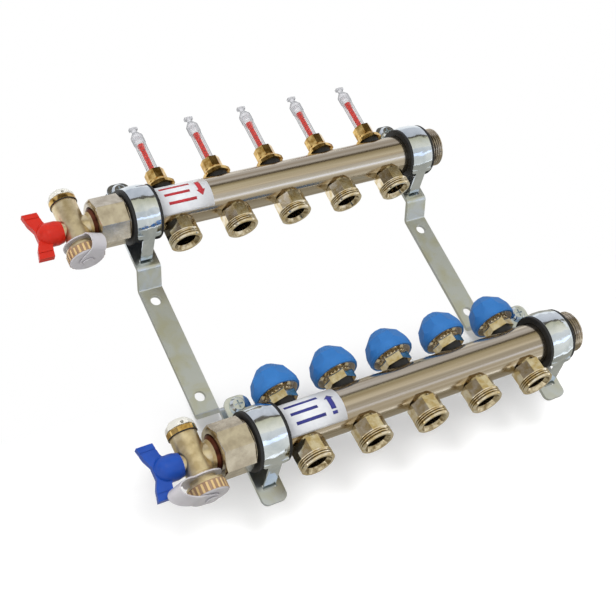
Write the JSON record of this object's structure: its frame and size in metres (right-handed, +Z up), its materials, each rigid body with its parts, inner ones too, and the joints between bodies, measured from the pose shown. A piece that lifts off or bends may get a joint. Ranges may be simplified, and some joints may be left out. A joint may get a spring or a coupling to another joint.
{
  "type": "underfloor heating manifold",
  "caption": "Heating manifold: supply bar with flow meters over a return bar with valve caps, threaded outlets, end tees and strip wall brackets.",
  "frame": {"origin": "on the wall plane, in the middle of the four bracket holes", "axes": "+X along the bars towards the open threads, +Y into the wall, +Z up"},
  "size_m": [0.3735, 0.0962, 0.3337],
  "materials": {
    "stainless_steel": "satin tube",
    "nickel_plated_brass": "bright nickel plate",
    "yellow_brass": "turned",
    "cast_brass": "blasted and nickel plated",
    "nut_brass": "satin nickel plate",
    "pin_steel": "bright",
    "zinc_plated_steel": "zinc plate, slightly yellow",
    "bright_zinc_steel": "bright zinc plate",
    "black_rubber": "matt",
    "clear_plastic": "clear",
    "translucent_plastic": "milky clear",
    "white_plastic": "smooth",
    "red_plastic": "smooth",
    "blue_cap_plastic": "fine grain",
    "blue_handle_plastic": "smooth"
  },
  "bodies": {
    "manifold": {"supply_bar": "stainless_steel", "return_bar": "stainless_steel", "supply_outlets": "nickel_plated_brass", "return_outlets": "nickel_plated_brass", "flow_meter_base_1": "yellow_brass", "flow_meter_base_2": "yellow_brass", "flow_meter_base_3": "yellow_brass", "flow_meter_base_4": "yellow_brass", "flow_meter_base_5": "yellow_brass", "sight_tube_1": "clear_plastic", "sight_tube_2": "clear_plastic", "sight_tube_3": "clear_plastic", "sight_tube_4": "clear_plastic", "sight_tube_5": "clear_plastic", "valve_insert_1": "nickel_plated_brass", "valve_insert_2": "nickel_plated_brass", "valve_insert_3": "nickel_plated_brass", "valve_insert_4": "nickel_plated_brass", "valve_insert_5": "nickel_plated_brass", "bracket_left": "zinc_plated_steel", "bracket_right": "zinc_plated_steel", "supply_clamp_left": "bright_zinc_steel", "supply_clamp_right": "bright_zinc_steel", "return_clamp_left": "bright_zinc_steel", "return_clamp_right": "bright_zinc_steel", "clamp_liners": "black_rubber", "clamp_screws": "bright_zinc_steel", "supply_end_tee": "cast_brass", "supply_union_nut": "nut_brass", "supply_vent_plug": "yellow_brass", "supply_drain_strap": "translucent_plastic", "return_end_tee": "cast_brass", "return_union_nut": "nut_brass", "return_vent_plug": "yellow_brass", "return_drain_strap": "translucent_plastic", "union_gaskets": "black_rubber"},
    "supply_handle": {"supply_wing_handle": "red_plastic", "supply_drain_ball": "pin_steel"},
    "supply_vent": {"supply_vent_cap": "white_plastic"},
    "supply_drain": {"supply_drain_cap": "translucent_plastic"},
    "return_handle": {"return_wing_handle": "blue_handle_plastic", "return_drain_ball": "pin_steel"},
    "return_vent": {"return_vent_cap": "white_plastic"},
    "return_drain": {"return_drain_cap": "translucent_plastic"},
    "indicator_1": {"flow_indicator_1": "red_plastic"},
    "cap_1": {"valve_cap_1": "blue_cap_plastic"},
    "pin_1": {"valve_pin_1": "pin_steel"},
    "indicator_2": {"flow_indicator_2": "red_plastic"},
    "cap_2": {"valve_cap_2": "blue_cap_plastic"},
    "pin_2": {"valve_pin_2": "pin_steel"},
    "indicator_3": {"flow_indicator_3": "red_plastic"},
    "cap_3": {"valve_cap_3": "blue_cap_plastic"},
    "pin_3": {"valve_pin_3": "pin_steel"},
    "indicator_4": {"flow_indicator_4": "red_plastic"},
    "cap_4": {"valve_cap_4": "blue_cap_plastic"},
    "pin_4": {"valve_pin_4": "pin_steel"},
    "indicator_5": {"flow_indicator_5": "red_plastic"},
    "cap_5": {"valve_cap_5": "blue_cap_plastic"},
    "pin_5": {"valve_pin_5": "pin_steel"}
  },
  "joints": [
    {"name": "supply_handle_turn", "type": "hinge", "parent": "manifold", "child": "supply_handle", "pos_m": [-0.205, -0.0428, 0.1007], "axis": [1, 0, 0], "range_deg": [0, 90]},
    {"name": "supply_vent_turn", "type": "hinge", "parent": "manifold", "child": "supply_vent", "pos_m": [-0.1825, -0.0428, 0.1312], "axis": [0, 0, 1], "continuous": true},
    {"name": "supply_drain_cap_turn", "type": "hinge", "parent": "manifold", "child": "supply_drain", "pos_m": [-0.1825, -0.0428, 0.0767], "axis": [0, 0, 1], "range_deg": [-360, 0]},
    {"name": "return_handle_turn", "type": "hinge", "parent": "manifold", "child": "return_handle", "pos_m": [-0.205, -0.0731, -0.112], "axis": [1, 0, 0], "range_deg": [0, 90]},
    {"name": "return_vent_turn", "type": "hinge", "parent": "manifold", "child": "return_vent", "pos_m": [-0.1825, -0.0731, -0.0851], "axis": [0, 0, 1], "continuous": true},
    {"name": "return_drain_cap_turn", "type": "hinge", "parent": "manifold", "child": "return_drain", "pos_m": [-0.1825, -0.0731, -0.136], "axis": [0, 0, 1], "range_deg": [-360, 0]},
    {"name": "cap_turn_1", "type": "hinge", "parent": "manifold", "child": "cap_1", "pos_m": [-0.102, -0.06837, -0.07833], "axis": [0, 0.1392, 0.9903], "range_deg": [-960.5, 0]},
    {"name": "pin_slide_1", "type": "slide", "parent": "manifold", "child": "pin_1", "axis": [0, 0.1392, 0.9903], "range_m": [-0.004, 0]},
    {"name": "indicator_slide_1", "type": "slide", "parent": "manifold", "child": "indicator_1", "axis": [0, 0, 1], "range_m": [-0.018, 0], "stiffness_N_per_m": 20, "springref_m": 0.003},
    {"name": "cap_turn_2", "type": "hinge", "parent": "manifold", "child": "cap_2", "pos_m": [-0.052, -0.06837, -0.07833], "axis": [0, 0.1392, 0.9903], "range_deg": [-960.5, 0]},
    {"name": "pin_slide_2", "type": "slide", "parent": "manifold", "child": "pin_2", "axis": [0, 0.1392, 0.9903], "range_m": [-0.004, 0]},
    {"name": "indicator_slide_2", "type": "slide", "parent": "manifold", "child": "indicator_2", "axis": [0, 0, 1], "range_m": [-0.018, 0], "stiffness_N_per_m": 20, "springref_m": 0.003},
    {"name": "cap_turn_3", "type": "hinge", "parent": "manifold", "child": "cap_3", "pos_m": [-0.002, -0.06837, -0.07833], "axis": [0, 0.1392, 0.9903], "range_deg": [-960.5, 0]},
    {"name": "pin_slide_3", "type": "slide", "parent": "manifold", "child": "pin_3", "axis": [0, 0.1392, 0.9903], "range_m": [-0.004, 0]},
    {"name": "indicator_slide_3", "type": "slide", "parent": "manifold", "child": "indicator_3", "axis": [0, 0, 1], "range_m": [-0.018, 0], "stiffness_N_per_m": 20, "springref_m": 0.003},
    {"name": "cap_turn_4", "type": "hinge", "parent": "manifold", "child": "cap_4", "pos_m": [0.048, -0.06837, -0.07833], "axis": [0, 0.1392, 0.9903], "range_deg": [-960.5, 0]},
    {"name": "pin_slide_4", "type": "slide", "parent": "manifold", "child": "pin_4", "axis": [0, 0.1392, 0.9903], "range_m": [-0.004, 0]},
    {"name": "indicator_slide_4", "type": "slide", "parent": "manifold", "child": "indicator_4", "axis": [0, 0, 1], "range_m": [-0.018, 0], "stiffness_N_per_m": 20, "springref_m": 0.003},
    {"name": "cap_turn_5", "type": "hinge", "parent": "manifold", "child": "cap_5", "pos_m": [0.098, -0.06837, -0.07833], "axis": [0, 0.1392, 0.9903], "range_deg": [-960.5, 0]},
    {"name": "pin_slide_5", "type": "slide", "parent": "manifold", "child": "pin_5", "axis": [0, 0.1392, 0.9903], "range_m": [-0.004, 0]},
    {"name": "indicator_slide_5", "type": "slide", "parent": "manifold", "child": "indicator_5", "axis": [0, 0, 1], "range_m": [-0.018, 0], "stiffness_N_per_m": 20, "springref_m": 0.003}
  ],
  "couplings": [
    {"joint": "cap_turn_1", "follows": "pin_slide_1", "rad_per_m": 4188.8},
    {"joint": "cap_turn_2", "follows": "pin_slide_2", "rad_per_m": 4188.8},
    {"joint": "cap_turn_3", "follows": "pin_slide_3", "rad_per_m": 4188.8},
    {"joint": "cap_turn_4", "follows": "pin_slide_4", "rad_per_m": 4188.8},
    {"joint": "cap_turn_5", "follows": "pin_slide_5", "rad_per_m": 4188.8}
  ]
}
